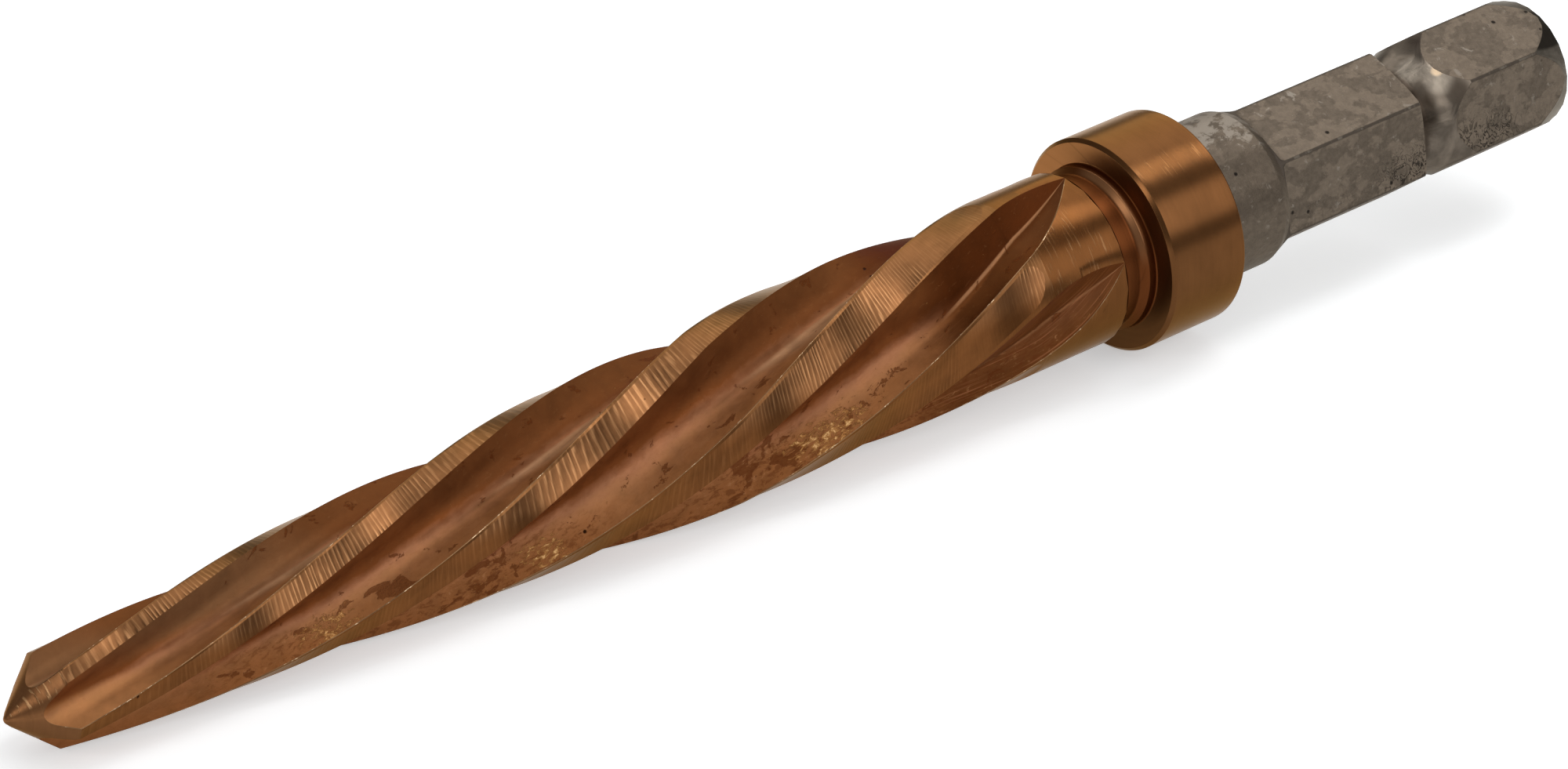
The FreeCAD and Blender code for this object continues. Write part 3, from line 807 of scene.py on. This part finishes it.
def flute_look():
    look = Look("flute_bronze")
    flow, round_map = look.uv("flow"), look.uv("polar")
    s, turned = look.axes(round_map)
    share = look.axes(look.uv("share"))[0]
    low = look.band(turned, 92.0, 50.0)
    lowest = look.band(turned, 56.0, 30.0)
    colour = flute_shading(look, flow, share, turned, lowest)
    colour = run_out_shading(look, colour, s, share, low)
    # A lighter gold patch on the flutes near the tip, and a paler patch on their upper side.
    colour = look.paint(colour, TIP_LIGHTER, look.spot(round_map, TIP_LIGHTER_SPOT), 0.75)
    colour = look.paint(colour, PALE, look.spot(round_map, PALE_SPOT), 0.6)
    cloud = look.noise(flow, 0.5, 5.0, 0.6, 0.3)
    colour = look.shade(colour, look.vary(cloud, 0.84, 1.18, smooth=False))

    # Rust islands and worn gold flecks, most of them where the flutes face the floor
    rusty = look.most(*(look.spot(round_map, where) for where in RUSTY))
    island = look.add(look.clouds(flow, 0.42, 0.6, 7.0, 0.64, 0.5, shift=(1.9, 3.1)),
                      look.times(rusty, 0.13), look.band(s, 18.0, 10.0, 0.0, -0.12),
                      look.times(low, 0.03))
    rust = look.band(island, 0.62, 0.65)
    colour = look.paint(colour, RUST, rust, 0.70)
    mottle = look.clouds(flow, 1.1, 2.4, 7.0, 0.72, 0.5, shift=(8.8, 5.2))
    mottled = look.times(look.blend(lowest, 0.09, 0.55), look.band(s, 12.0, 24.0, 0.3, 1.0))
    colour = look.paint(colour, MOTTLE_DARK, look.band(mottle, 0.50, 0.58), mottled)
    colour = look.paint(colour, MOTTLE_LIGHT, look.band(mottle, 0.42, 0.34), mottled)
    golden = look.times(look.most(*(look.spot(round_map, where) for where in GOLDEN)),
                        look.band(share, 0.36, 0.10))
    fleck = look.add(look.clouds(flow, 1.3, 2.6, 8.0, 0.74, 0.6, shift=(7.7, 0.4)),
                     look.times(golden, 0.16), look.times(low, 0.02))
    gold = look.band(fleck, 0.64, 0.72)
    colour = look.paint(colour, GOLD, gold, 0.75)
    colour = look.paint(colour, BRIGHT_GOLD, look.band(fleck, 0.74, 0.79))
    dark = look.pits(flow, 0.5, size=0.10, keep=0.16)
    colour = look.paint(colour, BRONZE_PIT, dark)

    # Long scratches in the lower run-out
    scratch = look.clouds(flow, 0.12, 5.0, 2.0, 0.6)
    scored = look.times(look.band(s, 80.0, 84.0), low)
    colour = look.paint(colour, SCRATCH, look.band(scratch, 0.55, 0.70), scored, 0.6)

    grain = look.clouds(flow, 2.6, 5.0, 5.0, 0.68)
    soft = look.noise(flow, 0.9, 3.0, 0.5)
    uneven = look.most(rust, gold, look.times(lowest, 0.45))
    height = look.add(look.times(grain, look.blend(uneven, 0.35, 3.0)), look.times(soft, 0.9),
                      look.times(scratch, scored, 0.8), look.times(dark, -2.0))
    rough = look.vary(cloud, 0.48, 0.58, smooth=False)
    return look.metal(colour, rough, height, 0.000014, metallic=0.7, rim=FLUTE_RIM, specular=0.15)


def turned_look(name, base, rough, depth=0.000003, under=1.0, over=1.0, score=None, ring=None):
    """Turned bronze with fine rings.

    under and over are levels of painted shade and painted light on the low and on the far side,
    score is a Score, and ring is the tint of a painted highlight on the hub's front.
    """
    look = Look(name)
    flow, round_map = look.uv("flow"), look.uv("polar")
    s, turned = look.axes(round_map)
    rings = look.clouds(flow, 6.0, 0.12, 4.0, 0.65)
    cloud = look.clouds(flow, 0.3, 0.2, 4.0, 0.55)
    stain = look.clouds(flow, 0.8, 0.8, 5.0, 0.6, 0.4, shift=(4.0, 2.0))
    level = look.add(look.vary(cloud, 0.88, 1.10), look.vary(rings, -0.05, 0.05),
                     look.band(stain, 0.62, 0.72, 0.0, -0.18))
    # Painted shade on the low side by under, and painted light on the far side by over.
    level = look.times(level, look.band(turned, 88.0, 50.0, 1.0, under),
                       look.band(turned, 118.0, 150.0, 1.0, over))
    colour = look.shade(base, level)
    # A painted highlight ring on the hub's front.
    if ring:
        front = look.between(s, HUB_START - 0.05, HUB_START + 0.2, HUB_START + 0.5, HUB_START + 0.8)
        shown = look.between(turned, 60.0, 95.0, 140.0, 160.0)
        colour = look.paint(colour, ring, front, shown, 0.7)
    height = look.add(rings, look.times(look.noise(flow, 3.0, 3.0, 0.6), 0.5))
    # The arcs are worn marks, painted lighter as highlight lines.
    if score:
        arcs = look.clouds(flow, 5.5, 0.35, 2.0, 0.5, shift=(2.2, 9.0))
        lines = look.times(look.band(arcs, 0.60 - score.more, 0.66 - score.more),
                           look.band(look.spot(round_map, score.spot), 0.0, 0.5))
        colour = look.paint(colour, score.tint, lines, 0.6)
        height = look.add(height, look.times(lines, 2.0))
    colour = look.paint(colour, TURNED_PIT, look.pits(flow, 0.35, size=0.07, keep=0.16))
    return look.metal(colour, rough, height, depth)


def edge_look():
    """The worn line of the cutting edges, lighter in stretches, with bright nicks: wear, and
    painted glints too.
    """
    look = Look("cutting_edge")
    flow = look.uv("flow")
    nick = look.band(look.clouds(flow, 1.3, 0.02, 4.0, 0.7), 0.57, 0.63)
    fade = look.clouds(flow, 0.25, 0.01, 2.0, 0.5)
    colour = look.mix(look.band(fade, 0.4, 0.6), EDGE_DULL, EDGE_WEAR_AND_SHEEN)
    colour = look.paint(colour, EDGE_NICK_GLINT, nick)
    return look.metal(colour, 0.32, look.noise(flow, 2.5, 3.0, 0.6), 0.00001)


def steel_look(name, base, rough, shine, lines, contrast):
    """Bare blotched steel.

    shine is how much more of the light worn colour lies on the upper side as a painted highlight,
    lines is 1 for corroded worm tracks and dark borders and 0 for none, and contrast is that of the
    blotches on the lower side.
    """
    look = Look(name)
    flow, round_map = look.uv("flow"), look.uv("polar")
    s, turned = look.axes(round_map)
    share = look.axes(look.uv("share"))[0]
    upper = look.band(turned, 108.0, 132.0)
    under = look.band(turned, 74.0, 42.0)
    cloud = look.clouds(flow, 0.30, 0.40, 7.0, 0.62, 0.2)
    blotch = look.band(cloud, 0.47, 0.53, -0.5, 0.5)
    level = look.add(1.0, look.times(blotch, look.band(turned, 108.0, 140.0, contrast, 0.36)),
                     look.vary(look.noise(flow, 1.6, 5.0, 0.65), -0.14, 0.14))
    colour = look.shade(base, level)
    # Light worn patches, with more of them on the upper side as a painted highlight.
    light = look.clouds(flow, 0.8, 0.8, 6.0, 0.66, 0.4, shift=(3.1, 8.2))
    worn = look.band(look.add(light, look.times(upper, shine)), 0.60, 0.70)
    colour = look.paint(colour, STEEL_WEAR_AND_SHEEN, worn, look.blend(upper, 0.5, 0.7))

    # Worm tracks lie on the lower side, most of them beside the groove.
    worm = look.clouds(flow, 1.05, 0.75, 2.0, 0.5, 2.2, shift=(0.7, 0.2))
    groove_side = look.between(s, 128.0, 133.0, 143.0, 148.0)
    worms = look.times(look.between(worm, 0.435, 0.460, 0.492, 0.517), under,
                       look.blend(groove_side, 0.2, 1.0), lines)
    colour = look.paint(colour, STEEL_LINE, worms, 0.9)
    dark = look.pits(flow, 0.55, size=0.13, keep=0.22)
    colour = look.paint(colour, STEEL_PIT, dark)
    colour = look.paint(colour, FLAT_EDGE, look.band(share, 0.972, 0.995), lines, 0.45)

    grain = look.noise(flow, 1.6, 5.0, 0.62, 0.5)
    height = look.add(grain, look.times(dark, -0.8), look.times(worms, -0.8),
                      look.times(look.noise(flow, 6.0, 2.0, 0.5), 0.12))
    return look.metal(colour, look.vary(cloud, rough - 0.05, rough + 0.07, smooth=False), height,
                      0.00005, metallic=0.9, rim=STEEL_RIM)


def corner_look():
    """Grime and wear along the hexagon's blunted corners."""
    look = Look("hex_corner")
    flow = look.uv("flow")
    broken = look.clouds(flow, 0.9, 0.02, 4.0, 0.65)
    colour = look.mix(look.band(broken, 0.50, 0.62), CORNER_GRIME, CORNER_WORN)
    return look.metal(colour, 0.45, look.noise(flow, 3.0, 3.0, 0.6), 0.00002, metallic=0.9,
                      rim=STEEL_RIM)


def bevel_look():
    """The end bevel's corners: the one that faces up carries a painted dark reflection, the others
    are lighter and worn.
    """
    look = Look("end_bevel")
    flow, round_map = look.uv("flow"), look.uv("polar")
    colour = look.shade(BEVEL_BASE, look.vary(look.noise(flow, 0.8, 4.0, 0.6), 0.8, 1.25))
    # A painted dark reflection on the corner that faces up.
    dark_reflection = look.spot(round_map, BEVEL_REFLECTION_SPOT)
    colour = look.paint(colour, BEVEL_DARK_REFLECTION, look.band(dark_reflection, 0.1, 0.4, 0.0, 0.92))
    return look.metal(colour, 0.4, look.noise(flow, 3.0, 3.0, 0.6), 0.00002, metallic=0.9,
                      rim=STEEL_RIM)


def groove_look():
    """The turned groove, smoother than the flats, with painted highlights and shade on its ramp and
    painted shade on its steep side.
    """
    look = Look("ball_groove")
    flow, round_map = look.uv("flow"), look.uv("polar")
    s = look.axes(round_map)[0]
    cloud = look.clouds(flow, 0.5, 0.35, 4.0, 0.55, 0.3)
    uneven = look.band(cloud, 0.35, 0.60, 0.55, 1.0)
    colour = look.shade(GROOVE_BASE, look.vary(cloud, 0.6, 1.3))
    # Painted highlights and painted shade on the ramp.
    for where, strength, tint in GROOVE_HIGHLIGHTS_AND_SHADE:
        colour = look.paint(colour, tint, look.spot(round_map, where), uneven, strength)
    # Painted shade on the steep side.
    steep_side_shade = look.band(look.add(s, look.times(cloud, 0.8)), GROOVE_FOOT + 1.9, GROOVE_FOOT + 1.2)
    colour = look.paint(colour, GROOVE_WALL_SHADE, steep_side_shade, 0.85)
    height = look.add(cloud, look.times(look.noise(flow, 2.0, 3.0, 0.6), 0.4))
    return look.metal(colour, 0.34, height, 0.00003, metallic=0.95, rim=STEEL_RIM)


def materials():
    """The material of each zone, in the order of the zones."""
    # The cone's and the collar's arcs are painted highlights along their bright bands; the body's
    # are worn marks painted lighter.
    cone_ridge_highlight = Score(Spot(2.0, 112.0, 2.4, 24.0), 0.06, (0.56, 0.32, 0.15))
    body_score = Score(Spot(96.5, 84.0, 4.5, 46.0), 0.0, (0.25, 0.128, 0.058))
    collar_band_highlight = Score(Spot(108.5, 115.0, 4.6, 10.0), 0.03, (0.21, 0.100, 0.039))
    # The under levels below are painted shade on the low side, and the face's over level is painted
    # light on its far side.
    made = {
        CONE: turned_look("cone_bronze", (0.240, 0.105, 0.042), 0.36, depth=0.000012, under=0.6,
                          score=cone_ridge_highlight),
        LAND: land_look("ground_land", LAND_BASE, ripple=1.0),
        MARGIN_MAT: land_look("ground_margin", MARGIN_BASE, ripple=0.3),
        FLUTE: flute_look(),
        EDGE: edge_look(),
        TURNED: turned_look("turned_bronze", (0.140, 0.054, 0.017), 0.27, under=0.85,
                            score=body_score),
        NECK: turned_look("neck_bronze", (0.118, 0.035, 0.010), 0.36, under=0.8, ring=HUB_RING_HIGHLIGHT),
        COLLAR: turned_look("collar_bronze", (0.137, 0.057, 0.020), 0.25, under=0.82,
                            score=collar_band_highlight),
        FACE: turned_look("collar_face", (0.200, 0.085, 0.030), 0.40, under=0.55, over=1.5),
        SHANK: steel_look("bare_shank", (0.100, 0.078, 0.058), 0.42, shine=0.18, lines=0.0,
                          contrast=0.14),
        HEXFLAT: steel_look("hex_flat", (0.122, 0.096, 0.072), 0.46, shine=0.01, lines=1.0,
                            contrast=0.36),
        CORNER: corner_look(),
        GROOVE: groove_look(),
        BEVEL: bevel_look(),
    }
    return [made[zone] for zone in range(len(made))]


reamer = build_skin()
for material in materials():
    reamer.data.materials.append(material)
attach(reamer, "root")
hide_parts("impact_reamer")

# Floor, lamps and camera, in metres
FLOOR_HALF = 3
FLOOR_WHITE = (0.79, 0.805, 0.815, 1.0)
FLOOR_GLOW = 0.46
WORLD_LEVEL = 0.28
WHITE = (1.0, 1.0, 1.0, 1.0)


def floor_look():
    """A pale matte floor, which glows only where it is seen directly or mirrored."""
    look = Look("floor_white")
    path = look.node("LightPath")
    seen = look.most(path.outputs["Is Camera Ray"], path.outputs["Is Glossy Ray"],
                     path.outputs["Is Transmission Ray"])
    glow = look.node("Emission", {"Color": WHITE, "Strength": look.times(seen, FLOOR_GLOW)})
    matte = look.node("BsdfDiffuse", {"Color": FLOOR_WHITE})
    both = look.node("AddShader", {0: glow.outputs[0], 1: matte.outputs[0]})
    look.tree.links.new(both.outputs[0], look.out.inputs[0])
    return look.material


floor_mesh = bpy.data.meshes.new("floor")
floor_mesh.from_pydata([(x * FLOOR_HALF, y * FLOOR_HALF, 0)
                        for x, y in ((-1, -1), (1, -1), (1, 1), (-1, 1))], [], [(0, 1, 2, 3)])
floor_mesh.materials.append(floor_look())
floor = bpy.data.objects.new("floor", floor_mesh)
bpy.context.scene.collection.objects.link(floor)

# Soft panels, long in the tool's direction. Each covers turn - half to turn + half about the tool,
# from the horizon in front of it up and over to the back, and ahead is how far its direction leans
# towards the hexagon: at 0.49 the tool's round mirrors it to the camera.
PANELS_AROUND = Vector((0.0, 0.0, 0.008))
PANEL_DISTANCE = 0.75
Panel = namedtuple("Panel", "name turn half level ahead length")
PANELS = (Panel("front", 35.5, 14.5, 1.5, 0.49, 0.62),
          Panel("key", 87.0, 8.0, 3.4, 0.49, 0.62),
          Panel("back", 132.0, 25.0, 1.45, 0.49, 0.62),
          Panel("fill", 50.0, 30.0, 1.1, 0.06, 0.45),
          Panel("point", 76.0, 7.0, 5.0, -0.80, 0.20))


def hang(panel):
    width = 2 * PANEL_DISTANCE * math.tan(math.radians(panel.half))
    lamp = bpy.data.lights.new(panel.name, "AREA")
    lamp.shape = "RECTANGLE"
    lamp.size, lamp.size_y = panel.length, width
    lamp.energy = panel.level * math.pi * width * panel.length
    turn = math.radians(panel.turn)
    lift = math.sqrt(1 - panel.ahead ** 2)
    out = Vector((panel.ahead, -lift * math.cos(turn), lift * math.sin(turn)))
    side = Vector(ALONG) - out * out.dot(Vector(ALONG))
    side.normalize()
    axes = Matrix((side, out.cross(side), out)).transposed().to_4x4()
    made = bpy.data.objects.new(panel.name, lamp)
    made.matrix_world = Matrix.Translation(PANELS_AROUND + out * PANEL_DISTANCE) @ axes
    bpy.context.scene.collection.objects.link(made)


for panel in PANELS:
    hang(panel)

world = bpy.data.worlds.new("studio")
bpy.context.scene.world = world
world.use_nodes = True
tree = world.node_tree
tree.nodes.clear()
background = tree.nodes.new("ShaderNodeBackground")
background.inputs["Color"].default_value = WHITE
background.inputs["Strength"].default_value = WORLD_LEVEL
output = tree.nodes.new("ShaderNodeOutputWorld")
tree.links.new(background.outputs[0], output.inputs[0])

# The camera that was fitted to the photo. Its place is millimetres from the tool's tip.
CAMERA_FROM_TIP = Vector((-200.6, -332.3, 231.3))
RIGHT = Vector((0.7741, -0.6330, 0.002)).normalized()
FORWARD = Vector((0.5600, 0.6829, -0.4690))
FORWARD = (FORWARD - RIGHT * FORWARD.dot(RIGHT)).normalized()
UP = RIGHT.cross(FORWARD)
camera_data = bpy.data.cameras.new("camera")
camera_data.sensor_width = 36.0
camera_data.lens = 144.42
camera_data.clip_start = 0.01
camera = bpy.data.objects.new("camera", camera_data)
camera.matrix_world = (Matrix.Translation((Vector(TIP) + CAMERA_FROM_TIP) * MM)
                       @ Matrix((RIGHT, UP, -FORWARD)).transposed().to_4x4())
bpy.context.scene.collection.objects.link(camera)
bpy.context.scene.camera = camera
bpy.context.scene.view_settings.view_transform = "Standard"
